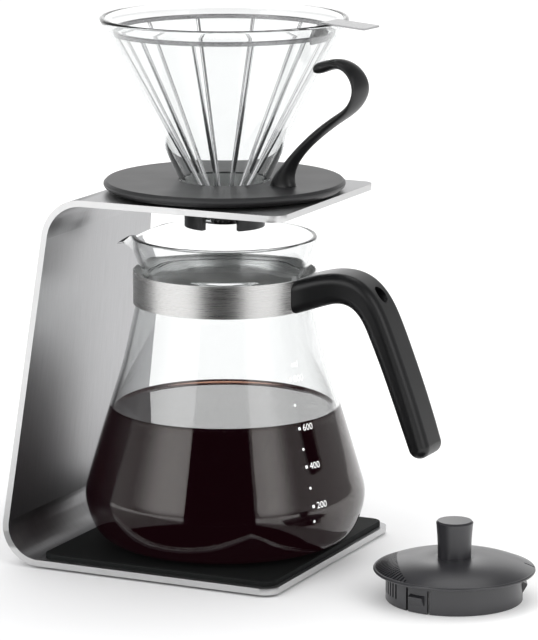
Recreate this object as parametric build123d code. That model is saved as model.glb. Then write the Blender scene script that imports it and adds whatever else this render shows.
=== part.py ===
from build123d import *
from math import atan, cos, radians, sin
import os

# Manual pour-over coffee brewer, in millimetres.
# The origin is on the table, on the upright axis of the dripper and the carafe.
# +X points from the stand's spine to its open end, +Z is up.

os.makedirs("parts", exist_ok=True)

# ---------------------------------------------------------------- driving dimensions
# Stand: one bent metal plate, wider at the base than at the shelf.
FOOT_SHEET_THICK = 1.0
PLATE_THICK = 3.0
BASE_FRONT_X = 55.6
BASE_HALF_WIDTH = 65.5
SHELF_FRONT_X = 53.0
SHELF_HALF_WIDTH = 52.2
SHELF_TOP_Z = 170.7
SPINE_X_AT_TABLE = -84.4
SPINE_LEAN = 0.1106
BASE_BEND_RADIUS = 18.0
SHELF_BEND_RADIUS = 21.0
TAPER_START_Z = 16.0
TAPER_END_Z = 152.0
PLATE_CORNER = 7.0
SHELF_HOLE_RADIUS = 19.8
MAT_BACK_X = -63.6
MAT_FRONT_X = 53.3
MAT_HALF_WIDTH = 62.3
MAT_THICK = 2.5
MAT_CORNER = 5.5

# Dripper: a disc on the shelf, a glass cone in it, a hook handle on it.
DRIPPER_TURN = -10.5
DISC_RADIUS = 55.5
DISC_TOP_Z = 176.3
DISC_UNDER_Z = 172.0
DISC_GAP = 0.2
REGISTER_RADIUS = 19.45
REGISTER_BOTTOM_Z = 168.0
LUG_RADIUS = 18.5
LUG_INNER_RADIUS = 15.5
LUG_BOTTOM_Z = 154.7
LUG_SWEEP = 66.0
CONE_TIP_Z = 156.8
CONE_TIP_RADIUS = 11.0
CONE_RIM_Z = 251.1
CONE_RIM_RADIUS = 57.3
CONE_WALL = 2.45
SEAL_THICK = 0.5
SEAL_BOTTOM_Z = 169.0
SEAL_TOP_Z = 175.6
NOZZLE_TOP_Z = 165.0
NOZZLE_SEAT_Z = 161.0
NOZZLE_BOTTOM_Z = 156.2
NOZZLE_RADIUS = 5.0
NOZZLE_BORE = 3.2
HANDLE_FOOT_X = 33.3
HOOK_SCREW_RADIUS = 1.5
HOOK_SCREW_HEAD_RADIUS = 2.8
HOOK_SCREW_TOP_Z = 183.0
HOOK_SCREW_RECESS = 0.9

# Hook handle stations, from the foot up the stem and round the hook to the tip:
# x, z of the middle, thickness in the handle's plane, width across it.
HOOK_STATIONS = [
    (33.3, 176.3, 14.0, 9.4),
    (34.0, 179.6, 10.4, 8.8),
    (36.2, 184.4, 6.6, 8.2),
    (41.0, 190.9, 4.6, 7.4),
    (52.5, 201.6, 4.2, 7.2),
    (64.0, 209.8, 3.9, 9.2),
    (72.2, 216.2, 3.4, 12.0),
    (75.3, 223.8, 3.2, 13.2),
    (72.0, 230.9, 4.2, 12.0),
    (65.0, 234.1, 4.6, 10.0),
    (57.5, 232.9, 5.0, 7.6),
    (53.2, 231.6, 5.0, 6.6),
    (51.4, 231.2, 4.2, 5.4),
    (50.6, 231.1, 2.0, 2.6),
]

# Wire filter cage inside the cone.
CAGE_TURN = -4.5
ROD_COUNT = 12
ROD_RADIUS = 0.9
TOP_RING_RADIUS = 50.0
TOP_RING_BOTTOM_Z = 244.1
TOP_RING_HEIGHT = 2.0
BOTTOM_RING_RADIUS = 7.9
BOTTOM_RING_BOTTOM_Z = 165.2
BOTTOM_RING_HEIGHT = 1.6
TAB_WIDTH = 15.0
TAB_THICK = 0.8

# Carafe.
GLASS_WALL = 2.0
CARAFE_FLOOR_Z = 6.7
WAIST_START_Z = 118.5
NECK_Z = 135.5
RIM_Z = 150.5
BAND_RADIUS = 42.35
BAND_THICK = 0.6
BAND_BOTTOM_Z = 118.9
BAND_TOP_Z = 133.9
BAND_GAP = 6.0
LINER_GAP = 0.05
LINER_SETBACK = 8.0
SCREW_TILT = 3.7
SPOUT_TIP_X = -56.0
SPOUT_ROOT_X = -34.0
SPOUT_RADIUS = 10.0
SPOUT_AXIS_Z = 146.0
SPOUT_RISE = 0.16

# Outer outline of the glass, from the floor up: radius, height.
BODY_OUTLINE = [
    (50.0, CARAFE_FLOOR_Z),
    (57.3, 10.2),
    (62.2, 17.0),
    (65.1, 29.0),
    (62.2, 42.0),
    (53.2, 72.0),
    (47.6, 90.0),
    (43.4, 108.0),
    (40.9, WAIST_START_Z),
]
WAIST_ARC = [(40.9, WAIST_START_Z), (37.0, 127.2), (38.9, NECK_Z)]
NECK_OUTLINE = [(38.9, NECK_Z), (41.9, 143.0), (42.5, RIM_Z)]

# Carafe handle, from the root to the tip: its upper and lower lines as x, z,
# and half its width along the handle as x, y.
GRIP_UPPER = [
    (36.0, 132.6),
    (42.1, 134.4),
    (50.7, 136.9),
    (60.8, 138.1),
    (69.5, 136.4),
    (77.0, 131.2),
    (82.6, 123.4),
    (86.9, 114.3),
    (91.2, 103.6),
    (98.5, 84.2),
    (105.6, 63.0),
]
GRIP_LOWER = [
    (40.0, 118.2),
    (45.9, 120.1),
    (54.2, 122.8),
    (61.2, 124.2),
    (66.6, 122.9),
    (71.2, 118.9),
    (75.9, 110.4),
    (80.4, 100.2),
    (88.2, 80.6),
    (96.1, 59.6),
]
GRIP_SIDE = [(34.0, 13.6), (46.0, 13.2), (60.0, 11.0), (76.0, 10.5), (110.0, 10.0)]
GRIP_ROUNDING = 4.5

# Lid, loose on the table beside the stand.
LID_X = 127.5
LID_Y = -28.0
LID_TURN = 25.5
LID_RADIUS = 36.2
LID_RIM_Z = 14.2
LID_CROWN_Z = 19.0
LID_SEAT_Z = 12.6
SKIRT_RADIUS = 30.6
SKIRT_WALL = 1.6
KNOB_RADIUS = 8.3
KNOB_WAIST = 7.6
KNOB_FOOT = 7.5
KNOB_TOP_Z = 35.6


# ---------------------------------------------------------------- small helpers
def revolved(points):
    """A solid of revolution about Z from (radius, height) corners."""
    corners = [(r, 0, z) for r, z in points]
    return revolve(make_face(Polyline(*corners, close=True)), Axis.Z)


def tube(inner, outer, bottom, top):
    """An upright ring of rectangular section."""
    return revolved([(inner, bottom), (outer, bottom), (outer, top), (inner, top)])


def rod(radius, start, end):
    """A round bar between two points."""
    start = Vector(*start)
    end = Vector(*end)
    along = end - start
    section = Plane(start, z_dir=along) * Circle(radius)
    return extrude(section, amount=along.length, dir=along)


def turned(shape, angle):
    return shape.rotate(Axis.Z, angle)


def box_between(low, high):
    """A box from its lowest to its highest corner."""
    size = [high[i] - low[i] for i in range(3)]
    centre = [(high[i] + low[i]) / 2 for i in range(3)]
    return Pos(*centre) * Box(*size)


def side_face(points):
    """A face in the XZ plane from (x, z) corners."""
    return Plane.XZ * make_face(Polyline(*points, close=True))


# ---------------------------------------------------------------- stand
def spine_outer_x(z):
    return SPINE_X_AT_TABLE + SPINE_LEAN * z


def spine_inner_x(z):
    return spine_outer_x(z) + PLATE_THICK / cos(atan(SPINE_LEAN))


def make_stand_frame():
    base_bottom = FOOT_SHEET_THICK
    base_top = base_bottom + PLATE_THICK
    shelf_bottom = SHELF_TOP_Z - PLATE_THICK
    outer_low = (spine_outer_x(base_bottom), base_bottom)
    outer_high = (spine_outer_x(SHELF_TOP_Z), SHELF_TOP_Z)
    inner_high = (spine_inner_x(shelf_bottom), shelf_bottom)
    inner_low = (spine_inner_x(base_top), base_top)
    outline = make_face(
        Polyline(
            (BASE_FRONT_X, base_bottom),
            outer_low,
            outer_high,
            (SHELF_FRONT_X, SHELF_TOP_Z),
            (SHELF_FRONT_X, shelf_bottom),
            inner_high,
            inner_low,
            (BASE_FRONT_X, base_top),
            close=True,
        )
    )
    bends = [
        (outer_low, BASE_BEND_RADIUS),
        (inner_low, BASE_BEND_RADIUS - PLATE_THICK),
        (outer_high, SHELF_BEND_RADIUS),
        (inner_high, SHELF_BEND_RADIUS - PLATE_THICK),
    ]
    for corner, radius in bends:
        vertex = outline.vertices().sort_by_distance((corner[0], corner[1], 0))[0]
        outline = fillet(vertex, radius)
    bent = extrude(Plane.XZ * outline, amount=BASE_HALF_WIDTH + 5, both=True)

    front = make_face(
        Polyline(
            (-BASE_HALF_WIDTH, 0),
            (-BASE_HALF_WIDTH, TAPER_START_Z),
            (-SHELF_HALF_WIDTH, TAPER_END_Z),
            (-SHELF_HALF_WIDTH, SHELF_TOP_Z + 5),
            (SHELF_HALF_WIDTH, SHELF_TOP_Z + 5),
            (SHELF_HALF_WIDTH, TAPER_END_Z),
            (BASE_HALF_WIDTH, TAPER_START_Z),
            (BASE_HALF_WIDTH, 0),
            close=True,
        )
    )
    frame = bent & extrude(Plane.YZ * front, amount=120, both=True)
    upright = frame.edges().filter_by(Axis.Z)
    front_corners = upright.filter_by(lambda edge: edge.center().X > SHELF_FRONT_X - 1)
    frame = fillet(front_corners, PLATE_CORNER)
    hole = Pos(0, 0, SHELF_TOP_Z) * Cylinder(SHELF_HOLE_RADIUS, 20)
    return frame - hole


def make_sheet(back_x, front_x, half_width, corner, bottom, thick):
    """A rounded rectangular sheet lying flat."""
    outline = RectangleRounded(front_x - back_x, 2 * half_width, corner)
    middle_x = (front_x + back_x) / 2
    return Pos(middle_x, 0, bottom) * extrude(outline, amount=thick)


def make_base_mat():
    bottom = FOOT_SHEET_THICK + PLATE_THICK
    mat = make_sheet(MAT_BACK_X, MAT_FRONT_X, MAT_HALF_WIDTH, MAT_CORNER, bottom, MAT_THICK)
    return fillet(mat.faces().sort_by(Axis.Z)[-1].edges(), 0.6)


def make_foot_sheet():
    return make_sheet(MAT_BACK_X, MAT_FRONT_X, MAT_HALF_WIDTH, MAT_CORNER, 0, FOOT_SHEET_THICK)


# ---------------------------------------------------------------- dripper
def cone_radius(z):
    """Outer radius of the glass cone at a height."""
    slope = (CONE_RIM_RADIUS - CONE_TIP_RADIUS) / (CONE_RIM_Z - CONE_TIP_Z)
    return CONE_TIP_RADIUS + slope * (z - CONE_TIP_Z)


def make_glass_cone():
    cone = revolved(
        [
            (CONE_TIP_RADIUS - CONE_WALL, CONE_TIP_Z),
            (CONE_TIP_RADIUS, CONE_TIP_Z),
            (CONE_RIM_RADIUS, CONE_RIM_Z),
            (CONE_RIM_RADIUS - CONE_WALL, CONE_RIM_Z),
        ]
    )
    return fillet(cone.faces().sort_by(Axis.Z)[-1].edges(), 0.9)


def sector(reach, sweep, bottom, top):
    """An upright wedge from the axis outwards, for cutting a ring into arcs."""
    half = radians(sweep / 2)
    far_x = reach * cos(half)
    far_y = reach * sin(half)
    plan = make_face(Polyline((0, 0), (far_x, -far_y), (far_x, far_y), close=True))
    return Pos(0, 0, bottom) * extrude(plan, amount=top - bottom)


def make_lug_ring():
    """Three lugs below the register, which drop through the shelf's hole."""
    ring = tube(LUG_INNER_RADIUS, LUG_RADIUS, LUG_BOTTOM_Z, REGISTER_BOTTOM_Z + 1)
    wedge = sector(LUG_RADIUS * 2, LUG_SWEEP, LUG_BOTTOM_Z - 1, REGISTER_BOTTOM_Z + 1)
    lugs = Part()
    for k in range(3):
        lugs += ring & turned(wedge, 120 * k)
    return lugs


def make_dripper_base():
    foot_z = SHELF_TOP_Z + DISC_GAP
    body = revolved(
        [
            (5, REGISTER_BOTTOM_Z),
            (REGISTER_RADIUS, REGISTER_BOTTOM_Z),
            (REGISTER_RADIUS, foot_z),
            (46.5, foot_z),
            (47.5, DISC_UNDER_Z),
            (53.4, DISC_UNDER_Z),
            (DISC_RADIUS - 0.3, DISC_UNDER_Z + 1.5),
            (DISC_RADIUS, DISC_UNDER_Z + 2.2),
            (DISC_RADIUS, DISC_TOP_Z - 1.2),
            (DISC_RADIUS - 1.2, DISC_TOP_Z),
            (5, DISC_TOP_Z),
        ]
    )
    circles = body.edges().filter_by(GeomType.CIRCLE)
    rim_edges = circles.filter_by(lambda edge: edge.radius > DISC_RADIUS - 1.5)
    body = fillet(rim_edges.filter_by(lambda edge: edge.center().Z > DISC_UNDER_Z + 2.5), 0.5)
    low = LUG_BOTTOM_Z - 2
    high = DISC_TOP_Z + 2
    bore_low = cone_radius(low) + SEAL_THICK
    bore_high = cone_radius(high) + SEAL_THICK
    bore = revolved([(0, low), (bore_low, low), (bore_high, high), (0, high)])
    body = body + make_lug_ring() - bore
    recess = revolved([(23, foot_z - 1), (38, foot_z - 1), (38, foot_z + 0.9), (23, foot_z + 0.9)])
    body = body - recess - Pos(HANDLE_FOOT_X, 0, DISC_TOP_Z) * Cylinder(1.7, 20)
    return body - Pos(HANDLE_FOOT_X, 0, foot_z + 1.35) * Cylinder(3.1, 2.7)


def make_cone_seal():
    gap = 0.02
    return revolved(
        [
            (cone_radius(SEAL_BOTTOM_Z) + gap, SEAL_BOTTOM_Z),
            (cone_radius(SEAL_BOTTOM_Z) + SEAL_THICK - gap, SEAL_BOTTOM_Z),
            (cone_radius(SEAL_TOP_Z) + SEAL_THICK - gap, SEAL_TOP_Z),
            (cone_radius(SEAL_TOP_Z) + gap, SEAL_TOP_Z),
        ]
    )


def make_drip_nozzle():
    """A funnel insert that sits in the tip of the cone and carries the cage."""
    inside = CONE_WALL + 0.03
    return revolved(
        [
            (cone_radius(NOZZLE_SEAT_Z) - inside, NOZZLE_SEAT_Z),
            (cone_radius(NOZZLE_TOP_Z) - inside, NOZZLE_TOP_Z),
            (6.5, NOZZLE_TOP_Z),
            (NOZZLE_BORE, NOZZLE_SEAT_Z + 0.5),
            (NOZZLE_BORE, NOZZLE_BOTTOM_Z),
            (NOZZLE_RADIUS, NOZZLE_BOTTOM_Z),
            (NOZZLE_RADIUS, NOZZLE_SEAT_Z),
        ]
    )


def make_dripper_handle():
    line = Spline([(x, 0, z) for x, z, _, _ in HOOK_STATIONS], tangents=[(0.1, 0, 1), (-1, 0, -0.1)])
    sections = []
    for x, z, thick, width in HOOK_STATIONS:
        along = line.tangent_at(line.param_at_point(Vector(x, 0, z)))
        if z == DISC_TOP_Z:
            along = Vector(0, 0, 1)
        plane = Plane(origin=(x, 0, z), x_dir=(0, 1, 0), z_dir=along)
        sections.append(plane * Ellipse(width / 2, thick / 2))
    return loft(sections) - make_hook_screw()


def make_hook_screw():
    """Sunk in the underside of the disc, up into the foot of the hook handle."""
    head_z = SHELF_TOP_Z + DISC_GAP + HOOK_SCREW_RECESS
    shank = tube(0, HOOK_SCREW_RADIUS, head_z + 0.5, HOOK_SCREW_TOP_Z)
    head = tube(0, HOOK_SCREW_HEAD_RADIUS, head_z, head_z + 1.75)
    return Pos(HANDLE_FOOT_X, 0, 0) * (shank + head)


# ---------------------------------------------------------------- filter cage
def rod_radius_at(z):
    """Distance of a cage rod's middle from the axis at a height."""
    low = BOTTOM_RING_BOTTOM_Z + BOTTOM_RING_HEIGHT
    share = (z - low) / (TOP_RING_BOTTOM_Z - low)
    return BOTTOM_RING_RADIUS + share * (TOP_RING_RADIUS - BOTTOM_RING_RADIUS)


def make_cage_rod(angle):
    low = BOTTOM_RING_BOTTOM_Z + BOTTOM_RING_HEIGHT
    high = TOP_RING_BOTTOM_Z
    bar = rod(ROD_RADIUS, (rod_radius_at(low - 2), 0, low - 2), (rod_radius_at(high + 2), 0, high + 2))
    return turned(bar & box_between((0, -5, low), (60, 5, high)), angle)


def make_top_ring():
    ring = tube(
        TOP_RING_RADIUS - ROD_RADIUS,
        TOP_RING_RADIUS + ROD_RADIUS,
        TOP_RING_BOTTOM_Z,
        TOP_RING_BOTTOM_Z + TOP_RING_HEIGHT,
    )
    return fillet(ring.faces().sort_by(Axis.Z)[-1].edges(), 0.4)


def make_bottom_ring():
    low = BOTTOM_RING_BOTTOM_Z
    inner = BOTTOM_RING_RADIUS - ROD_RADIUS
    return tube(inner, inner + 2 * ROD_RADIUS, low, low + BOTTOM_RING_HEIGHT)


def make_cage_tab():
    """A strip welded inside the top ring, bent over the glass rim and outwards."""
    line = FilletPolyline((48.5, 242.4), (48.5, 246.4), (54.2, 252.0), (76.4, 250.4), radius=1.6)
    strip = extrude(Plane.XZ * trace(line, TAB_THICK), amount=TAB_WIDTH / 2, both=True)
    ends = strip.edges().filter_by(lambda edge: edge.center().X > 76 and edge.length < 1)
    return fillet(ends, 1.0) - make_top_ring()


# ---------------------------------------------------------------- carafe
def offset_line(edge, distance, count):
    """A smooth line at a distance from an upward profile line, on its axis side."""
    points = []
    for k in range(count + 1):
        tangent = edge % (k / count)
        points.append((edge @ (k / count)) + Vector(-tangent.Z, 0, tangent.X) * distance)
    return Spline(*points)


def waist_arc(shrink):
    """The groove round the neck that the band sits in."""
    return ThreePointArc(*[(r - shrink, 0, z) for r, z in WAIST_ARC])


def spout_pipe(shrink, start_x, end_x):
    """A round pipe that rises towards the pouring side; its lower half is the spout."""
    radius = SPOUT_RADIUS - shrink
    start_z = SPOUT_AXIS_Z + SPOUT_RISE * (SPOUT_ROOT_X - start_x)
    end_z = SPOUT_AXIS_Z + SPOUT_RISE * (SPOUT_ROOT_X - end_x)
    return rod(radius, (start_x, 0, start_z), (end_x, 0, end_z))


def make_carafe_neck():
    """The flared collar above the band, with the pouring spout on its -X side."""
    inner = [(r - GLASS_WALL, z) for r, z in NECK_OUTLINE]
    collar = revolved(NECK_OUTLINE + inner[::-1])
    filling = revolved([(0, NECK_Z), *NECK_OUTLINE, (0, RIM_Z)])
    neck = collar + (spout_pipe(0, SPOUT_ROOT_X, SPOUT_TIP_X) - filling)
    neck = neck - spout_pipe(GLASS_WALL, SPOUT_ROOT_X + 4, SPOUT_TIP_X - 4)
    droop = side_face([(-37, RIM_Z), (-70, RIM_Z - 14), (-70, RIM_Z + 20), (60, RIM_Z + 20), (60, RIM_Z)])
    return neck - extrude(droop, amount=60, both=True)


def make_carafe_glass():
    outside = Spline([(r, 0, z) for r, z in BODY_OUTLINE])
    inside = offset_line(outside, GLASS_WALL, 30)
    outer_waist = waist_arc(0)
    inner_waist = waist_arc(GLASS_WALL)
    joint = Line(inside @ 1, inner_waist @ 0)
    rim_line = Line(outer_waist @ 1, inner_waist @ 1)
    inner_punt = (0, 0, CARAFE_FLOOR_Z + 3.4)
    outer_punt = (0, 0, CARAFE_FLOOR_Z + 1.2)
    floor_line = Polyline(inside @ 0, inner_punt, outer_punt, outside @ 0)
    lines = [outside, outer_waist, rim_line, inner_waist, joint, inside, floor_line]
    edges = [edge for line in lines for edge in line.edges()]
    return revolve(make_face(Wire(edges)), Axis.Z) + make_carafe_neck()


def make_carafe_band():
    band = tube(BAND_RADIUS - BAND_THICK, BAND_RADIUS, BAND_BOTTOM_Z, BAND_TOP_Z)
    gap = box_between((30, -BAND_GAP / 2, BAND_BOTTOM_Z - 1), (50, BAND_GAP / 2, BAND_TOP_Z + 1))
    return band - gap


def make_band_liner():
    """A soft ring that fills the space between the glass neck and the band."""
    low = BAND_BOTTOM_Z + 1.4
    high = BAND_TOP_Z - LINER_SETBACK
    outer = BAND_RADIUS - BAND_THICK
    arc = waist_arc(-LINER_GAP)
    back = Polyline(arc @ 1, (outer, 0, NECK_Z), (outer, 0, WAIST_START_Z), arc @ 0)
    ring = revolve(make_face(Wire([*arc.edges(), *back.edges()])), Axis.Z)
    return ring & tube(30, outer, low, high)


def screw_plane(distance):
    """A plane square to the handle screw, at a distance outwards from the band."""
    tilt = radians(SCREW_TILT)
    middle_z = (BAND_BOTTOM_Z + BAND_TOP_Z) / 2
    origin = (BAND_RADIUS + distance * cos(tilt), 0, middle_z + distance * sin(tilt))
    return Plane(origin=origin, x_dir=(0, 1, 0), z_dir=(cos(tilt), 0, sin(tilt)))


def screw_bar(radius, start, length):
    return extrude(screw_plane(start) * Circle(radius), amount=length)


def make_band_bracket():
    """A steel bridge over the band's gap, threaded for the handle screw."""
    block = box_between((BAND_RADIUS - 5, -7, 121.4), (BAND_RADIUS + 3.6, 7, 131.4))
    block = block - Pos(0, 0, 125) * Cylinder(BAND_RADIUS, 60)
    return block - screw_bar(2.0, -8, 20)


def make_handle_screw():
    shank = screw_bar(1.98, 0.2, 15.0)
    head = screw_bar(3.4, 15.2, 3.0)
    slot = screw_bar(1.5, 16.7, 3.0)
    return shank + head - slot


def make_grip_side():
    """The carafe handle seen from the side, as a slab between two smooth lines with a round tip."""
    upper = Spline([(x, 0, z) for x, z in GRIP_UPPER])
    lower = Spline([(x, 0, z) for x, z in GRIP_LOWER[::-1]])
    across = (upper @ 1) - (lower @ 0)
    beyond = Vector(across.Z, 0, -across.X) / 2
    tip = ThreePointArc(upper @ 1, (upper @ 1) - across / 2 + beyond, lower @ 0)
    root = Line(lower @ 1, upper @ 0)
    edges = [edge for line in (upper, tip, lower, root) for edge in line.edges()]
    return extrude(make_face(Wire(edges)), amount=20, both=True)


def make_grip_plan():
    """The same handle seen from above: wide at the root, slightly tapered to the tip."""
    left = Spline([(x, y, 0) for x, y in GRIP_SIDE])
    right = Spline([(x, -y, 0) for x, y in GRIP_SIDE[::-1]])
    ends = [Line(left @ 1, right @ 0), Line(right @ 1, left @ 0)]
    edges = [edge for line in (left, ends[0], right, ends[1]) for edge in line.edges()]
    return extrude(make_face(Wire(edges)), amount=160)


def make_carafe_handle():
    handle = (make_grip_side() & make_grip_plan()).solids()[0]
    corners = handle.edges().filter_by(lambda edge: abs(edge.center().Y) > 8 and edge.center().X > 45)
    handle = fillet(corners, GRIP_ROUNDING)
    handle = handle - Pos(0, 0, 125) * Cylinder(BAND_RADIUS + 0.02, 60)
    pocket = box_between((BAND_RADIUS - 6, -7.1, 121.3), (BAND_RADIUS + 3.7, 7.1, 131.5))
    return handle - pocket - screw_bar(2.2, 0, 20) - screw_bar(3.6, 15.1, 40)


# ---------------------------------------------------------------- lid
def place_lid(shape):
    return Pos(LID_X, LID_Y, 0) * turned(shape, LID_TURN)


def make_lid_disc():
    top = ThreePointArc((9.0, LID_CROWN_Z), (24.0, LID_CROWN_Z - 0.9), (LID_RADIUS - 0.8, LID_RIM_Z))
    edge = ThreePointArc(top @ 1, (LID_RADIUS, LID_RIM_Z - 0.7), (LID_RADIUS - 0.8, LID_RIM_Z - 1.4))
    under = Polyline(edge @ 1, (SKIRT_RADIUS + 0.3, LID_SEAT_Z), (0, LID_SEAT_Z), (0, LID_CROWN_Z), top @ 0)
    disc = revolve(Plane.XZ * make_face([top, edge, under]), Axis.Z)
    hollow = tube(0, SKIRT_RADIUS - SKIRT_WALL, LID_SEAT_Z - 1, LID_SEAT_Z + 0.6)
    disc = disc - hollow - tube(0, 1.8, 0, LID_CROWN_Z + 1)
    slit = box_between((LID_RADIUS - 5, -0.6, 10), (LID_RADIUS + 1, 0.6, 20))
    disc = disc - slit
    count = 27
    for k in range(count):
        swing = (k - (count - 1) / 2) / ((count - 1) / 2)
        inner = 25.5 + 8.0 * swing * swing
        slot = box_between((inner, -0.45, 10), (LID_RADIUS - 1.2, 0.45, 20))
        disc = disc - turned(slot, 180 + 48 * swing)
    return place_lid(disc)


def make_lid_skirt():
    skirt = tube(SKIRT_RADIUS - SKIRT_WALL, SKIRT_RADIUS, 0, LID_SEAT_Z)
    cutter_low = SKIRT_RADIUS - SKIRT_WALL - 1
    cutter_high = SKIRT_RADIUS + 1
    barb_root = SKIRT_RADIUS - 0.5
    barb_tip = SKIRT_RADIUS + 1.8
    barb_side = side_face([(barb_root, 2.6), (barb_tip, 6.6), (barb_tip, 7.4), (barb_root, 8.4)])
    barb = extrude(barb_side, amount=3.6, both=True)
    for angle in (0, 125, -125):
        skirt = skirt + turned(barb, angle)
        for side in (-1, 1):
            slit = box_between((cutter_low, -0.6, -1), (cutter_high, 0.6, 10.6))
            skirt = skirt - turned(slit, angle + side * 10.5)
    for k in range(-6, 7):
        slot = box_between((cutter_low, -0.6, 3.6), (cutter_high, 0.6, 10.4))
        skirt = skirt - turned(slot, 180 + 5.0 * k)
    return place_lid(skirt)


def make_lid_knob():
    waist_z = (LID_CROWN_Z + KNOB_TOP_Z) / 2 - 2
    foot = (KNOB_FOOT, LID_CROWN_Z)
    brow = (KNOB_RADIUS, KNOB_TOP_Z - 0.8)
    waist = ThreePointArc(foot, (KNOB_WAIST, waist_z), brow)
    shoulder = Polyline(brow, (KNOB_RADIUS - 0.7, KNOB_TOP_Z), (0, KNOB_TOP_Z), (0, LID_CROWN_Z), foot)
    knob = revolve(Plane.XZ * make_face([waist, shoulder]), Axis.Z)
    knob = knob - tube(0, 1.6, LID_CROWN_Z - 1, LID_CROWN_Z + 10)
    return place_lid(knob)


def make_lid_screw():
    shank = tube(0, 1.6, LID_SEAT_Z, LID_CROWN_Z + 9.5)
    head = tube(0, 3.2, LID_SEAT_Z - 1.4, LID_SEAT_Z + 0.6)
    return place_lid(shank + head)


# ---------------------------------------------------------------- the whole set
def build():
    parts = {
        "stand_frame": make_stand_frame(),
        "base_mat": make_base_mat(),
        "foot_sheet": make_foot_sheet(),
        "dripper_base": turned(make_dripper_base(), DRIPPER_TURN),
        "cone_seal": make_cone_seal(),
        "glass_cone": make_glass_cone(),
        "drip_nozzle": make_drip_nozzle(),
        "dripper_handle": turned(make_dripper_handle(), DRIPPER_TURN),
        "dripper_handle_screw": turned(make_hook_screw(), DRIPPER_TURN),
        "cage_top_ring": make_top_ring(),
        "cage_bottom_ring": make_bottom_ring(),
        "cage_tab": turned(make_cage_tab(), CAGE_TURN),
        "carafe_glass": make_carafe_glass(),
        "carafe_band": make_carafe_band(),
        "band_liner": make_band_liner(),
        "band_bracket": make_band_bracket(),
        "carafe_handle": make_carafe_handle(),
        "handle_screw": make_handle_screw(),
        "lid_disc": make_lid_disc(),
        "lid_skirt": make_lid_skirt(),
        "lid_knob": make_lid_knob(),
        "lid_knob_screw": make_lid_screw(),
    }
    for k in range(ROD_COUNT):
        angle = CAGE_TURN + 360 / ROD_COUNT * (k + 0.5)
        parts[f"cage_rod_{k + 1:02d}"] = make_cage_rod(angle)
    return parts


for name, shape in build().items():
    export_step(shape, f"parts/{name}.step")
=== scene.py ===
from math import atan2, cos, exp, pi, radians, sin, sqrt

import bmesh
import bpy
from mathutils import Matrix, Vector


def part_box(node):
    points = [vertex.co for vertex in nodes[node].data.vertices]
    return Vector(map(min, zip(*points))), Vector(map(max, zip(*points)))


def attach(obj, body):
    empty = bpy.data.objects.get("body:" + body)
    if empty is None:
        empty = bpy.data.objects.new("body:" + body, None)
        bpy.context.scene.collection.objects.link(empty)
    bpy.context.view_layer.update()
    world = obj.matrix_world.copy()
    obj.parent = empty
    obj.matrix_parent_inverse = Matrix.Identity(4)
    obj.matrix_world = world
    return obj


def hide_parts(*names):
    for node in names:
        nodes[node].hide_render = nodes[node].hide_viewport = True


# Looks of a manual pour-over coffee brewer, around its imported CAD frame, in metres.
# The origin is on the table, on the upright axis of the dripper and the carafe.

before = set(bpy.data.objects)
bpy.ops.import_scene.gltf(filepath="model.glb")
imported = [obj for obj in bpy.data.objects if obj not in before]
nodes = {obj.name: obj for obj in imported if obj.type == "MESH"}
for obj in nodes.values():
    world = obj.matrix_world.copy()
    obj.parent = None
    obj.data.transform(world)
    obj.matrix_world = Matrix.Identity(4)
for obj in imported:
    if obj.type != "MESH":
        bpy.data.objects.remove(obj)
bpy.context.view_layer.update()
scene = bpy.context.scene
MM = 0.001

# ---------------------------------------------------------------- driving values
# Camera: where it stands, seen from the object.
VIEW_AZIMUTH = radians(25.506)
VIEW_ELEVATION = radians(11.587)
VIEW_DISTANCE = 1.7298
VIEW_AIM_SIDE = 0.020357
VIEW_AIM_Z = 0.11011
VIEW_LENS = 210.66
VIEW_SENSOR = 36

# Turned glass. Outlines are (radius, height above the glass's foot), in millimetres.
RING = 192
CARAFE_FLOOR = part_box("carafe_glass")[0].z
CARAFE_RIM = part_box("carafe_glass")[1].z
CARAFE_WALL = 2.0 * MM
BODY_LINE = [(50.0, 0.0), (57.3, 3.5), (62.2, 10.3), (65.1, 22.3), (62.2, 35.3), (53.2, 65.3), (47.6, 83.3),
             (43.4, 101.3), (40.9, 111.8)]
WAIST_LINE = [(38.6, 116.2), (37.3, 120.5), (37.5, 124.8), (39.0, 129.0)]
MOUTH_LINE = [(40.6, 133.5), (41.9, 138.2), (42.5, 143.8)]
FOOT_OUTSIDE = [(0.5, 1.2), (20, 1.0), (40, 0.45), (46, 0.12)]
FOOT_INSIDE = [(48, 2.25), (40, 2.7), (20, 3.3), (0.5, 3.4)]
OUTLINE_STEPS = 10
RIM_DROP = 0.9 * MM
RIM_CREST = 0.6 * MM

# The carafe's pouring spout.
SPOUT_AZIMUTH = pi
SPOUT_SPREAD = radians(17)
SPOUT_REACH = 13.4 * MM
SPOUT_DROP = 9.0 * MM
SPOUT_START = 132.0 * MM

# The coffee and its edge against the glass.
COFFEE_LEVEL = CARAFE_FLOOR + 62.5 * MM
COFFEE_OVERLAP = 0.25 * MM
COFFEE_FOOT = 2.6 * MM
MENISCUS_CLIMB = 1.5 * MM
MENISCUS_REACH = 4.0 * MM
MENISCUS_STEPS = 8

# The dripper's cone.
CONE_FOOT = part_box("glass_cone")[0].z
CONE_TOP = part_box("glass_cone")[1].z
CONE_FOOT_RADIUS = 11.0 * MM
CONE_TOP_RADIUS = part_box("glass_cone")[1].x
CONE_WALL = 2.45 * MM
CONE_STEPS = 40
CONE_LIP_STEPS = 8

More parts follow.
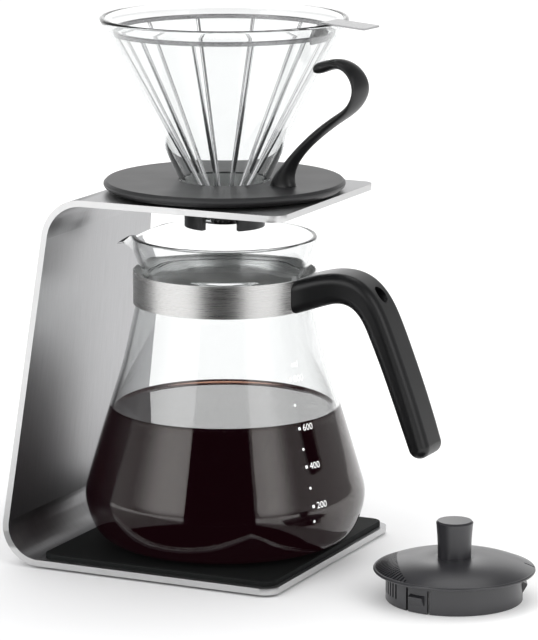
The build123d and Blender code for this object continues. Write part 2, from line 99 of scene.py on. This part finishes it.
# Printed marks: (volume, height on the carafe in millimetres).
MARKS = [(100, 27.3), (200, 34.2), (300, 42.3), (400, 51.6), (500, 59.4), (600, 68.5), (700, 78.8),
         (800, 90.0)]
NUMBERED_EVERY = 200
UNIT_HEIGHT = 96.5 * MM
MARK_AZIMUTH = radians(-25.5)
SQUARE_HALF = 0.95 * MM
DOT_HALF = 0.62 * MM
DIGIT_HEIGHT = 4.2 * MM
DIGIT_SHIFT = 1.9 * MM
INK_STAND_OFF = 0.06 * MM
INK_THICK = 0.05 * MM

# The stand's polished edges.
EDGE_WIDTH = 0.45 * MM
EDGE_SEGMENTS = 2
EDGE_ANGLE = radians(40)
WELD_DISTANCE = 0.02 * MM

# Studio: lights and their mirrored faces. Places are azimuth and elevation in degrees, and distance.
STUDIO_AIM = Vector((0, 0, 0.12))
LEFT_PLACE = (-26.5, 22, 1.5)
RIGHT_PLACE = (71.5, 22, 1.5)
BACK_PLACE = (205.5, 16, 2.0)
TOP_PLACE = (215, 70, 1.8)
LEFT_POWER = 10.6
RIGHT_POWER = 6.4
BACK_POWER = 6.0
TOP_POWER = 7.0
FLOOR_HALF = 6.0
FLOOR_DROP = 0.2 * MM


# ---------------------------------------------------------------- mesh helpers
def mesh_object(name, points, faces, smooth=True):
    mesh = bpy.data.meshes.new(name)
    mesh.from_pydata([tuple(p) for p in points], [], faces)
    mesh.update()
    obj = bpy.data.objects.new(name, mesh)
    scene.collection.objects.link(obj)
    for polygon in mesh.polygons:
        polygon.use_smooth = smooth
    return obj


def spline_line(points, steps):
    """A smooth line through (radius, height) points, by Catmull-Rom, evenly divided between them."""
    p = [Vector(q) for q in points]
    p = [2 * p[0] - p[1]] + p + [2 * p[-1] - p[-2]]
    line = []
    for k in range(1, len(p) - 2):
        for j in range(steps):
            t = j / steps
            a = 2 * p[k]
            b = (p[k + 1] - p[k - 1]) * t
            c = (2 * p[k - 1] - 5 * p[k] + 4 * p[k + 1] - p[k + 2]) * t * t
            d = (3 * p[k] - p[k - 1] - 3 * p[k + 1] + p[k + 2]) * t ** 3
            line.append((a + b + c + d) / 2)
    return line + [p[-2]]


def inset_line(line, distance):
    """The line moved towards the axis, square to itself."""
    moved = []
    for k, q in enumerate(line):
        along = line[min(k + 1, len(line) - 1)] - line[max(k - 1, 0)]
        along.normalize()
        moved.append(Vector((q.x - along.y * distance, q.y + along.x * distance)))
    return moved


def above_foot(points):
    """An outline in millimetres above the carafe's foot, as a line in metres."""
    return [Vector((radius * MM, CARAFE_FLOOR + height * MM)) for radius, height in points]


def on_circle(radius, height, angle):
    return (radius * cos(angle), radius * sin(angle), height)


def turned_surface(name, line, place=on_circle, looped=False):
    """A closed surface: the line's points, each set round the axis by place(radius, height, angle).

    A looped line is its own end; any other is closed by a fan of faces at each end.
    """
    points = [place(q.x, q.y, 2 * pi * k / RING) for q in line for k in range(RING)]
    rows = len(line)
    faces = []
    for i in range(rows if looped else rows - 1):
        above = (i + 1) % rows
        for k in range(RING):
            beside = (k + 1) % RING
            faces.append((i * RING + k, i * RING + beside, above * RING + beside, above * RING + k))
    if not looped:
        for row, turn in ((0, -1), (rows - 1, 1)):
            points.append(sum((Vector(points[row * RING + k]) for k in range(RING)), Vector()) / RING)
            for k in range(RING):
                pair = (row * RING + k, row * RING + (k + 1) % RING)
                faces.append((*pair[::turn], len(points) - 1))
    return mesh_object(name, points, faces)


# ---------------------------------------------------------------- material helpers
def adder(tree):
    """Empties a node tree, and returns a function that adds a node with its inputs and settings."""
    tree.nodes.clear()

    def add(kind, inputs=None, **settings):
        node = tree.nodes.new(kind)
        for key, value in settings.items():
            setattr(node, key, value)
        for key, value in (inputs or {}).items():
            if isinstance(value, bpy.types.NodeSocket):
                tree.links.new(value, node.inputs[key])
            else:
                node.inputs[key].default_value = value
        return node

    return add


def new_material(name):
    material = bpy.data.materials.new(name)
    material.use_nodes = True
    return material, adder(material.node_tree)


def finish_material(material, add, shader, volume=None):
    outputs = {"Surface": shader}
    if volume is not None:
        outputs["Volume"] = volume
    add("ShaderNodeOutputMaterial", outputs)
    return material


def coordinates(add, kind="Object"):
    return add("ShaderNodeTexCoord").outputs[kind]


def noise(add, scale, detail, roughness=0.5, stretch=(1, 1, 1)):
    """Noise in object space; stretch scales each axis first."""
    place = add("ShaderNodeMapping", {"Vector": coordinates(add), "Scale": stretch})
    inputs = {"Vector": place.outputs["Vector"], "Scale": scale, "Detail": detail, "Roughness": roughness}
    return add("ShaderNodeTexNoise", inputs).outputs["Fac"]


def remap(add, value, start, end, low, high, curve="LINEAR"):
    inputs = {"Value": value, "From Min": start, "From Max": end, "To Min": low, "To Max": high}
    return add("ShaderNodeMapRange", inputs, interpolation_type=curve).outputs["Result"]


def spread(add, value, low, high):
    """Noise, which keeps near its middle, spread between two numbers."""
    return remap(add, value, 0.25, 0.75, low, high)


def smooth_step(add, value, start, end, low=0.0, high=1.0):
    return remap(add, value, start, end, low, high, "SMOOTHSTEP")


def calc(add, operation, first, second=0.0):
    return add("ShaderNodeMath", {0: first, 1: second}, operation=operation).outputs[0]


def vector_calc(add, operation, first, second, output):
    return add("ShaderNodeVectorMath", {0: first, 1: second}, operation=operation).outputs[output]


def colour_mix(add, value, first, second):
    """A colour between two, by a value; each colour is a socket or three numbers."""
    ends = [end if isinstance(end, bpy.types.NodeSocket) else (*end, 1) for end in (first, second)]
    mix = add("ShaderNodeMix", {"Factor": value, 6: ends[0], 7: ends[1]}, data_type="RGBA")
    return mix.outputs[2]


def scaled(colour, factor):
    return [channel * factor for channel in colour]


def bump(add, height, strength, distance):
    inputs = {"Height": height, "Strength": strength, "Distance": distance}
    return add("ShaderNodeBump", inputs).outputs["Normal"]


# ---------------------------------------------------------------- materials
def cut_edge(add):
    """1 on the plate's cut sides and front ends, where a painted highlight goes; 0 on its brushed faces."""
    cut_slope = 0.35
    ends_from = 50 * MM
    place = add("ShaderNodeSeparateXYZ", {"Vector": coordinates(add)})
    way = add("ShaderNodeSeparateXYZ", {"Vector": coordinates(add, "Normal")})
    side = calc(add, "GREATER_THAN", calc(add, "ABSOLUTE", way.outputs["Y"]), cut_slope)
    ahead = calc(add, "GREATER_THAN", way.outputs["X"], cut_slope)
    at_end = calc(add, "GREATER_THAN", place.outputs["X"], ends_from)
    return calc(add, "MAXIMUM", side, calc(add, "MULTIPLY", ahead, at_end))


def inner_face(add):
    """1 where the surface faces the upright axis (painted lighter on the band), 0 where it faces outwards."""
    outwards = vector_calc(add, "MULTIPLY", coordinates(add), (1, 1, 0), 0)
    facing = vector_calc(add, "DOT_PRODUCT", outwards, coordinates(add, "Normal"), "Value")
    return calc(add, "LESS_THAN", facing, 0.0)


def brushed_metal(name, grain, dark, light, rough, mask, painted_highlight_grey, drawn=0.0):
    """Brushed steel: fine streaks with soft cloudy variation, and a plain, lighter grey where mask is 1: a
    painted highlight.

    grain scales the streaks along each axis; drawn stretches the highlights round the upright axis.
    """
    material, add = new_material(name)
    tangent = add("ShaderNodeTangent", direction_type="RADIAL", axis="Z").outputs[0]
    streak = noise(add, 1.0, 6.0, 0.65, stretch=grain)
    cloud = noise(add, 14.0, 2.0)
    brushed = colour_mix(add, spread(add, streak, 0.0, 1.0), dark, light)
    fine = spread(add, streak, rough - 0.05, rough + 0.05)
    roughness = calc(add, "ADD", fine, spread(add, cloud, -0.03, 0.03))
    shader = add("ShaderNodeBsdfPrincipled", {
        # Where mask is 1 the colour is a plain lighter grey: a painted highlight.
        "Base Color": colour_mix(add, mask(add), brushed, (painted_highlight_grey, painted_highlight_grey, painted_highlight_grey)), "Metallic": 1.0,
        "Roughness": roughness, "Anisotropic": drawn, "Tangent": tangent,
        "Normal": bump(add, streak, 0.12, 0.05 * MM)})
    return finish_material(material, add, shader.outputs[0])


def polished_metal(name, base, rough):
    """Polished metal with faint draw lines and handling marks."""
    material, add = new_material(name)
    mark = noise(add, 900.0, 4.0)
    cloud = noise(add, 60.0, 2.0)
    colour = colour_mix(add, spread(add, cloud, 0.0, 1.0), scaled(base, 0.93), base)
    shader = add("ShaderNodeBsdfPrincipled", {
        "Base Color": colour, "Metallic": 1.0, "Roughness": spread(add, mark, rough - 0.03, rough + 0.05)})
    return finish_material(material, add, shader.outputs[0])


def moulded_plastic(name, base, rough, level, grain=2600.0, height=0.02 * MM):
    """Satin moulded plastic: a fine spark-eroded grain, with cloudy colour and gloss."""
    material, add = new_material(name)
    grit = noise(add, grain, 2.0, 0.6)
    cloud = noise(add, 45.0, 3.0)
    shader = add("ShaderNodeBsdfPrincipled", {
        "Base Color": colour_mix(add, spread(add, cloud, 0.0, 1.0), scaled(base, 0.85), scaled(base, 1.15)),
        "Roughness": spread(add, cloud, rough - 0.03, rough + 0.03), "Specular IOR Level": level,
        "Normal": bump(add, grit, 0.35, height)})
    return finish_material(material, add, shader.outputs[0])


def clear_glass():
    """Clear borosilicate; rays from lamps pass straight through it."""
    material, add = new_material("clear_glass")
    tone = (0.985, 0.99, 0.99)
    glass_shader = add("ShaderNodeBsdfPrincipled", {
        "Base Color": colour_mix(add, noise(add, 25.0, 2.0), scaled(tone, 0.995), tone), "Roughness": 0.0,
        "IOR": 1.43, "Transmission Weight": 1.0, "Specular IOR Level": 0.5})
    clear = add("ShaderNodeBsdfTransparent", {"Color": (0.93, 0.94, 0.94, 1)})
    shadow = add("ShaderNodeLightPath").outputs["Is Shadow Ray"]
    mix = add("ShaderNodeMixShader", {0: shadow, 1: glass_shader.outputs[0], 2: clear.outputs[0]})
    depth = add("ShaderNodeVolumeAbsorption", {"Color": (0.50, 0.52, 0.52, 1), "Density": 85.0})
    return finish_material(material, add, mix.outputs[0], depth.outputs[0])


def coffee_liquid():
    """Brewed coffee: clear at a film's depth, amber then red-black as it deepens."""
    material, add = new_material("coffee_liquid")
    # The faint red-black emission is a painted glow: light painted into the coffee where it is darkest.
    surface = add("ShaderNodeBsdfPrincipled", {
        "Base Color": colour_mix(add, noise(add, 30.0, 2.0), (0.96, 0.95, 0.95), (1, 1, 1)), "Roughness": 0.0,
        "IOR": 1.33, "Transmission Weight": 1.0, "Emission Color": (0.0062, 0.0013, 0.0024, 1),
        "Emission Strength": 1.0})
    depth = add("ShaderNodeVolumeAbsorption", {"Color": (0.91, 0.56, 0.32, 1), "Density": 900.0})
    return finish_material(material, add, surface.outputs[0], depth.outputs[0])


def print_ink():
    """Fired white print, slightly uneven, with a painted glow that brightens it."""
    material, add = new_material("print_ink")
    # The white emission is a painted glow.
    shader = add("ShaderNodeBsdfPrincipled", {
        "Base Color": colour_mix(add, noise(add, 1500.0, 3.0), (0.80, 0.80, 0.80), (0.95, 0.95, 0.95)),
        "Roughness": 0.45, "Emission Color": (1, 1, 1, 1), "Emission Strength": 0.25})
    return finish_material(material, add, shader.outputs[0])


def put(material, *names):
    for name in names:
        materials = nodes[name].data.materials
        materials.clear()
        materials.append(material)


rods = [name for name in nodes if name.startswith("cage_rod_")]
# The plate's cut sides and front ends are a plain lighter grey: a painted highlight.
put(brushed_metal("stand_steel", grain=(60, 2600, 60), dark=(0.38, 0.38, 0.385), light=(0.49, 0.49, 0.50),
                  rough=0.38, mask=cut_edge, painted_highlight_grey=0.62), "stand_frame")
# The band's inner face is a plain lighter grey: a painted highlight.
put(brushed_metal("band_steel", grain=(60, 60, 5200), dark=(0.50, 0.495, 0.49), light=(0.62, 0.615, 0.61),
                  rough=0.28, mask=inner_face, painted_highlight_grey=0.88, drawn=0.8), "carafe_band")
put(polished_metal("wire_steel", (0.80, 0.80, 0.81), rough=0.10), "cage_bottom_ring", *rods)
put(polished_metal("strip_steel", (0.35, 0.35, 0.355), rough=0.24), "cage_top_ring", "cage_tab")
put(polished_metal("screw_steel", (0.55, 0.55, 0.56), rough=0.22),
    "band_bracket", "handle_screw", "dripper_handle_screw", "lid_knob_screw")
put(moulded_plastic("disc_plastic", (0.020, 0.020, 0.021), rough=0.42, level=0.40),
    "dripper_base", "drip_nozzle")
put(moulded_plastic("handle_plastic", (0.005, 0.005, 0.0055), rough=0.33, level=0.42),
    "dripper_handle", "carafe_handle")
put(moulded_plastic("lid_plastic", (0.018, 0.0178, 0.0205), rough=0.30, level=0.75),
    "lid_disc", "lid_skirt", "lid_knob")
put(moulded_plastic("mat_rubber", (0.0085, 0.0092, 0.0092), rough=0.62, level=0.14, grain=900.0,
                    height=0.05 * MM), "base_mat", "foot_sheet")
put(moulded_plastic("seal_silicone", (0.80, 0.80, 0.79), rough=0.50, level=0.30), "cone_seal", "band_liner")
glass = clear_glass()


# ---------------------------------------------------------------- glass and coffee
def with_spout(radius, height, angle):
    """A point of the carafe, pulled out and down where the spout is."""
    if height > SPOUT_START:
        rise = (height - SPOUT_START) / (CARAFE_RIM - SPOUT_START)
        aside = atan2(sin(angle - SPOUT_AZIMUTH), cos(angle - SPOUT_AZIMUTH))
        share = exp(-(aside / (SPOUT_SPREAD * (1.25 - 0.45 * rise))) ** 2)
        radius += SPOUT_REACH * share * rise ** 1.7
        height -= SPOUT_DROP * share * rise ** 3
    return on_circle(radius, height, angle)


def rounded_lip(outside, inside, steps=6):
    """The points of a half turn from the outside's end to the inside's."""
    middle = (outside + inside) / 2
    half = (outside - inside) / 2
    turns = [pi * k / steps for k in range(1, steps)]
    return [middle + half * cos(t) + Vector((0, sin(t) * half.length * 0.9)) for t in turns]


def make_carafe(outer, inner):
    lip = rounded_lip(outer[-1], inner[-1])
    line = above_foot(FOOT_OUTSIDE) + outer + lip + inner[::-1] + above_foot(FOOT_INSIDE)
    line = [Vector((q.x, min(q.y, CARAFE_RIM + RIM_CREST) - RIM_DROP * (q.y > SPOUT_START))) for q in line]
    obj = turned_surface("carafe_shell", line, with_spout)
    obj.data.materials.append(glass)
    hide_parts("carafe_glass")
    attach(obj, "carafe")


def make_coffee(inner):
    """The coffee meets the wall a little inside the glass, and climbs it in a meniscus."""
    wall = [q for q in inner if CARAFE_FLOOR + COFFEE_FOOT < q.y < COFFEE_LEVEL]
    side = [Vector((q.x + COFFEE_OVERLAP, q.y)) for q in wall]
    top_radius = side[-1].x
    line = above_foot([(0.5, 3.2), (40, 2.5)]) + side
    line.append(Vector((top_radius - 0.2 * MM, COFFEE_LEVEL + MENISCUS_CLIMB)))
    for k in range(1, MENISCUS_STEPS + 1):
        t = k / MENISCUS_STEPS
        line.append(Vector((top_radius - 0.35 * MM - MENISCUS_REACH * t,
                            COFFEE_LEVEL + MENISCUS_CLIMB * (1 - t) ** 2.6)))
    line.append(Vector((20 * MM, COFFEE_LEVEL)))
    line.append(Vector((0.5 * MM, COFFEE_LEVEL)))
    obj = turned_surface("coffee", line)
    obj.data.materials.append(coffee_liquid())
    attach(obj, "carafe")


def make_cone():
    """The dripper's glass: a straight cone with a rounded rim."""
    bead = CONE_WALL * 0.5
    top = CONE_TOP - bead
    outer = [Vector((CONE_FOOT_RADIUS + (CONE_TOP_RADIUS - CONE_FOOT_RADIUS) * k / CONE_STEPS,
                     CONE_FOOT + (top - CONE_FOOT) * k / CONE_STEPS)) for k in range(CONE_STEPS + 1)]
    inner = [Vector((q.x - CONE_WALL, q.y)) for q in outer]
    turns = [pi * k / CONE_LIP_STEPS for k in range(1, CONE_LIP_STEPS)]
    lip = [Vector((CONE_TOP_RADIUS - bead + bead * cos(t), top + bead * sin(t))) for t in turns]
    obj = turned_surface("cone_shell", outer + lip + inner[::-1], looped=True)
    obj.data.materials.append(glass)
    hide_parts("glass_cone")
    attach(obj, "dripper")


# ---------------------------------------------------------------- printed marks
def radius_at(line, height):
    for a, b in zip(line, line[1:]):
        if a.y <= height <= b.y:
            return a.x + (b.x - a.x) * (height - a.y) / (b.y - a.y)
    return line[-1].x


def wrap_on_glass(obj, line, height, shift):
    """Lays a flat drawing (X right, Y up) on the outside of the carafe, then gives it thickness."""
    mesh = obj.data
    work = bmesh.new()
    work.from_mesh(mesh)
    bmesh.ops.triangulate(work, faces=work.faces[:])
    slope = (radius_at(line, height + MM) - radius_at(line, height - MM)) / (2 * MM)
    for vert in work.verts:
        z = height + vert.co.y / sqrt(1 + slope * slope)
        radius = radius_at(line, z) + INK_STAND_OFF
        vert.co = on_circle(radius, z, MARK_AZIMUTH + (vert.co.x + shift) / radius)
    bmesh.ops.solidify(work, geom=work.faces[:], thickness=INK_THICK)
    work.to_mesh(mesh)
    work.free()


def text_mesh(name, body):
    curve = bpy.data.curves.new(name + "_line", "FONT")
    curve.body = body
    curve.size = DIGIT_HEIGHT
    curve.align_y = "CENTER"
    curve.resolution_u = 4
    holder = bpy.data.objects.new(name + "_line", curve)
    scene.collection.objects.link(holder)
    bpy.context.view_layer.update()
    mesh = bpy.data.meshes.new_from_object(holder)
    mesh.name = name
    bpy.data.objects.remove(holder)
    obj = bpy.data.objects.new(name, mesh)
    scene.collection.objects.link(obj)
    return obj


def patch(name, half, sides, start):
    """A flat dot or square."""
    turns = [start + 2 * pi * k / sides for k in range(sides)]
    points = [(0, 0, 0)] + [(half * cos(t), half * sin(t), 0) for t in turns]
    faces = [(0, 1 + k, 1 + (k + 1) % sides) for k in range(sides)]
    return mesh_object(name, points, faces, smooth=False)


def make_marks(line):
    ink = print_ink()

    def fire(obj, height, shift=0.0):
        wrap_on_glass(obj, line, height, shift)
        obj.data.materials.append(ink)
        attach(obj, "carafe")

    for volume, height in MARKS:
        if volume % NUMBERED_EVERY == 0:
            square = patch(f"mark_{volume}", SQUARE_HALF, 4, pi / 4)
            digits = text_mesh(f"digits_{volume}", str(volume))
            fire(square, height * MM)
            fire(digits, height * MM, DIGIT_SHIFT)
        else:
            fire(patch(f"mark_{volume}", DOT_HALF, 16, 0), height * MM)
    fire(text_mesh("digits_unit", "ml"), UNIT_HEIGHT, DIGIT_SHIFT)


# ---------------------------------------------------------------- polished edges on the CAD plate
def soften(name):
    """Small rounded edges on a CAD node, by modifiers alone."""
    weld = nodes[name].modifiers.new("join", "WELD")
    weld.merge_threshold = WELD_DISTANCE
    edge = nodes[name].modifiers.new("edge", "BEVEL")
    edge.width = EDGE_WIDTH
    edge.segments = EDGE_SEGMENTS
    edge.limit_method = "ANGLE"
    edge.angle_limit = EDGE_ANGLE
    edge.harden_normals = True


# ---------------------------------------------------------------- floor, light, camera
def outwards_at(azimuth, elevation):
    """The way from the object to an azimuth, measured like the camera's, and an elevation."""
    return Vector((sin(azimuth) * cos(elevation), -cos(azimuth) * cos(elevation), sin(elevation)))


def sideways_at(azimuth):
    """The level way to the right, for something that looks at the object from an azimuth."""
    return Vector((cos(azimuth), sin(azimuth), 0))


def make_floor():
    """White paper with a painted shadow: a little greyer under the object, and glowing brighter further away.
    """
    corners = [(x * FLOOR_HALF, y * FLOOR_HALF, 0) for x, y in ((-1, -1), (1, -1), (1, 1), (-1, 1))]
    floor = mesh_object("floor", corners, [(0, 1, 2, 3)], smooth=False)
    floor.location.z = -FLOOR_DROP
    material, add = new_material("floor_paper")
    # Painted shadow: the paper greys towards a point just left of and before the axis, and glows a little
    # only away from it.
    reach = vector_calc(add, "DISTANCE", coordinates(add), (-0.06, -0.05, 0), "Value")
    away = smooth_step(add, reach, 0.06, 0.30)
    paper = colour_mix(add, noise(add, 40.0, 2.0), (0.90, 0.90, 0.90), (0.92, 0.92, 0.92))
    shader = add("ShaderNodeBsdfPrincipled", {
        "Base Color": colour_mix(add, away, (0.76, 0.76, 0.765), paper), "Roughness": 0.9,
        "Specular IOR Level": 0.2, "Emission Color": (1, 1, 1, 1),
        "Emission Strength": calc(add, "MULTIPLY", away, 0.10)})
    floor.data.materials.append(finish_material(material, add, shader.outputs[0]))


def make_light(name, place, width, height, power, mirrored):
    """An area light that faces the object."""
    azimuth, elevation, distance = place
    data = bpy.data.lights.new(name, "AREA")
    data.shape = "RECTANGLE"
    data.size = width
    data.size_y = height
    data.energy = power
    lamp = bpy.data.objects.new(name, data)
    scene.collection.objects.link(lamp)
    away = outwards_at(radians(azimuth), radians(elevation))
    lamp.location = STUDIO_AIM + away * distance
    lamp.rotation_mode = "QUATERNION"
    lamp.rotation_quaternion = away.to_track_quat("Z", "Y")
    lamp.visible_glossy = mirrored
    lamp.visible_transmission = mirrored


def make_world():
    """White for what is seen and lit; for what is mirrored or bent, greyer, and dimmer overhead."""
    world = bpy.data.worlds.new("studio")
    scene.world = world
    world.use_nodes = True
    add = adder(world.node_tree)
    way = add("ShaderNodeSeparateXYZ", {0: coordinates(add, "Generated")})
    fade = remap(add, way.outputs["Z"], 0.1, 0.8, 0.62, 0.25)
    mirrored = add("ShaderNodeBackground", {"Color": (0.8, 0.8, 0.8, 1), "Strength": fade})
    white = add("ShaderNodeBackground", {"Color": (1, 1, 1, 1), "Strength": 1.0})
    path = add("ShaderNodeLightPath")
    bent = calc(add, "MAXIMUM", path.outputs["Is Glossy Ray"], path.outputs["Is Transmission Ray"])
    mix = add("ShaderNodeMixShader", {0: bent, 1: white.outputs[0], 2: mirrored.outputs[0]})
    add("ShaderNodeOutputWorld", {"Surface": mix.outputs[0]})


def finish_mirrored(material, add, shader):
    """The material shows only to light that has been mirrored at least once; otherwise it is clear."""
    clear = add("ShaderNodeBsdfTransparent")
    met = calc(add, "GREATER_THAN", add("ShaderNodeLightPath").outputs["Glossy Depth"], 0.5)
    mix = add("ShaderNodeMixShader", {0: met, 1: clear.outputs[0], 2: shader.outputs[0]})
    return finish_material(material, add, mix.outputs[0])


def stage_card(name, corners, material):
    """A card for reflections alone: the camera doesn't see it, and it lights and shades nothing."""
    card = mesh_object(name, corners, [tuple(range(len(corners)))], smooth=False)
    card.data.materials.append(material)
    card.visible_camera = False
    card.visible_diffuse = False
    card.visible_shadow = False
    return card


def camera_side(ahead, right, z):
    """A point at distances towards the camera, to its right and up, from the object's axis."""
    return outwards_at(VIEW_AZIMUTH, 0) * ahead + sideways_at(VIEW_AZIMUTH) * right + Vector((0, 0, z))


def upright_card(name, ahead, left, right, low, high, material):
    corners = [camera_side(ahead, x, z) for x, z in ((left, low), (right, low), (right, high), (left, high))]
    stage_card(name, corners, material)


def flat_card(name, z, outline, material):
    """A level card, from points (right, ahead)."""
    stage_card(name, [camera_side(ahead, right, z) for right, ahead in outline], material)


def card_cloth(name, grey):
    material, add = new_material(name)
    return finish_mirrored(material, add, add("ShaderNodeBsdfDiffuse", {"Color": (grey, grey, grey, 1)}))


def card_light(name, strength):
    material, add = new_material(name)
    return finish_mirrored(material, add, add("ShaderNodeEmission", {"Strength": strength}))


def make_cards():
    """Black cloth in front draws the dark bands; grey cloth over the table and a bright card behind."""
    black = card_cloth("black_cloth", 0.004)
    grey = card_cloth("grey_cloth", 0.28)
    upright_card("front_flag", 0.130, left=-0.064, right=0.046, low=0.001, high=0.145, material=black)
    flat_card("table_flag", 0.0085, [(-0.064, 0.128), (-0.064, 0.0435), (0.021, 0.081), (0.046, 0.030),
                                     (0.046, 0.128)], black)
    flat_card("table_apron", 0.0080, [(-0.25, 0.16), (-0.25, -0.03), (-0.105, 0.0245), (0.021, 0.081),
                                      (0.060, 0.012), (0.064, 0.012), (0.064, 0.16)], grey)
    upright_card("back_card", -0.35, left=-0.12, right=0.12, low=0.118, high=0.178,
                 material=card_light("card_light", 2.3))


def softbox(name, place, width, height, strength, rise, fall):
    """The mirrored face of a soft light.

    From left to right it changes over rise and then over fall, each given as start, end and the
    levels there. Towards its foot it dims.
    """
    azimuth, elevation, distance = place
    material, add = new_material(name + "_face")
    way = add("ShaderNodeSeparateXYZ", {"Vector": coordinates(add, "UV")})
    total = strength
    for level in (smooth_step(add, way.outputs["X"], *rise), smooth_step(add, way.outputs["X"], *fall),
                  smooth_step(add, way.outputs["Y"], 0.0, 0.25, 0.35, 1.0)):
        total = calc(add, "MULTIPLY", total, level)
    finish_mirrored(material, add, add("ShaderNodeEmission", {"Strength": total}))
    away = outwards_at(radians(azimuth), radians(elevation))
    side = sideways_at(radians(azimuth))
    up = away.cross(side)
    middle = STUDIO_AIM + away * distance
    chart_corners = [(0, 0), (1, 0), (1, 1), (0, 1)]
    corners = [middle + side * (x - 0.5) * width + up * (z - 0.5) * height for x, z in chart_corners]
    card = stage_card(name, corners, material)
    chart = card.data.uv_layers.new(name="face")
    for k, corner in enumerate(chart_corners):
        chart.data[k].uv = corner


def make_camera():
    data = bpy.data.cameras.new("camera")
    data.lens = VIEW_LENS
    data.sensor_width = VIEW_SENSOR
    data.clip_start = 0.1
    data.clip_end = 50
    camera = bpy.data.objects.new("camera", data)
    scene.collection.objects.link(camera)
    back = outwards_at(VIEW_AZIMUTH, VIEW_ELEVATION)
    aim = Vector((0, 0, VIEW_AIM_Z)) + sideways_at(VIEW_AZIMUTH) * VIEW_AIM_SIDE
    camera.location = aim + back * VIEW_DISTANCE
    camera.rotation_mode = "QUATERNION"
    camera.rotation_quaternion = back.to_track_quat("Z", "Y")
    scene.camera = camera


outer_line = above_foot(spline_line(BODY_LINE + WAIST_LINE + MOUTH_LINE, OUTLINE_STEPS))
inner_line = inset_line(outer_line, CARAFE_WALL)
make_carafe(outer_line, inner_line)
make_coffee(inner_line)
make_cone()
make_marks(outer_line)
soften("stand_frame")
make_camera()
make_floor()
make_world()
make_cards()
make_light("left_panel", LEFT_PLACE, 1.3, 1.4, LEFT_POWER, mirrored=False)
make_light("right_panel", RIGHT_PLACE, 0.8, 1.4, RIGHT_POWER, mirrored=False)
make_light("back_panel", BACK_PLACE, 2.4, 0.9, BACK_POWER, mirrored=True)
make_light("top_panel", TOP_PLACE, 1.6, 1.2, TOP_POWER, mirrored=True)
softbox("left_softbox", LEFT_PLACE, 1.75, 1.4, strength=2.0,
        rise=(0.0, 0.5, 0.30, 1.0), fall=(0.62, 1.0, 1.0, 0.62))
softbox("right_softbox", RIGHT_PLACE, 1.0, 1.4, strength=1.95,
        rise=(0.0, 0.35, 0.8, 1.0), fall=(0.4, 1.0, 1.0, 0.25))
scene.view_settings.view_transform = "Standard"
scene.cycles.transmission_bounces = 16
scene.cycles.transparent_max_bounces = 16
scene.cycles.max_bounces = 20
